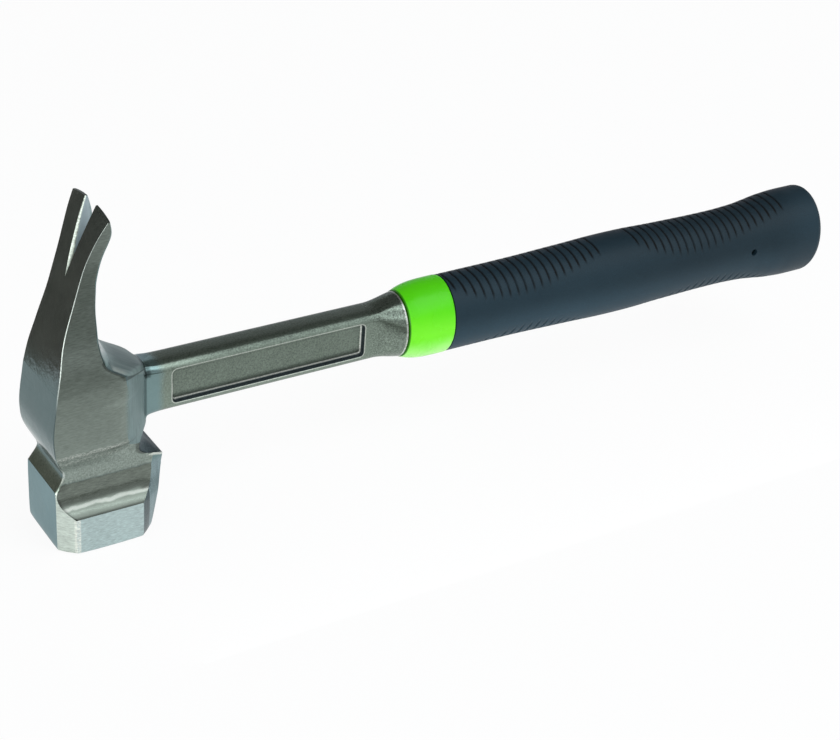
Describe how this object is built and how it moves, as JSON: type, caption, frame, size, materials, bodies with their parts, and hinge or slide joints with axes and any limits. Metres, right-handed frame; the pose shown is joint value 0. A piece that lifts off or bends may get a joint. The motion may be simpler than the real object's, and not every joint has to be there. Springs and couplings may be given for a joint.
{
  "type": "lineman hammer",
  "caption": "One-piece forged steel hammer with a square chamfered poll, a straight split claw, a shaft with sunk side panels, a bright collar and a soft grooved grip.",
  "frame": {"origin": "middle of the striking face", "axes": "+X along the handle towards the butt, +Z from the striking face up towards the claw, Y across the head"},
  "size_m": [0.3678, 0.038, 0.1337],
  "materials": {
    "forged_steel": "forged and belt ground, lacquered, with a bright ground striking end",
    "core_plastic": "as moulded, hidden",
    "collar_plastic": "glossy bright green",
    "grip_rubber": "soft satin navy"
  },
  "bodies": {
    "root": {"forged_body": "forged_steel", "grip_core": "core_plastic", "collar_ring": "collar_plastic", "grip_sleeve": "grip_rubber"}
  },
  "joints": []
}
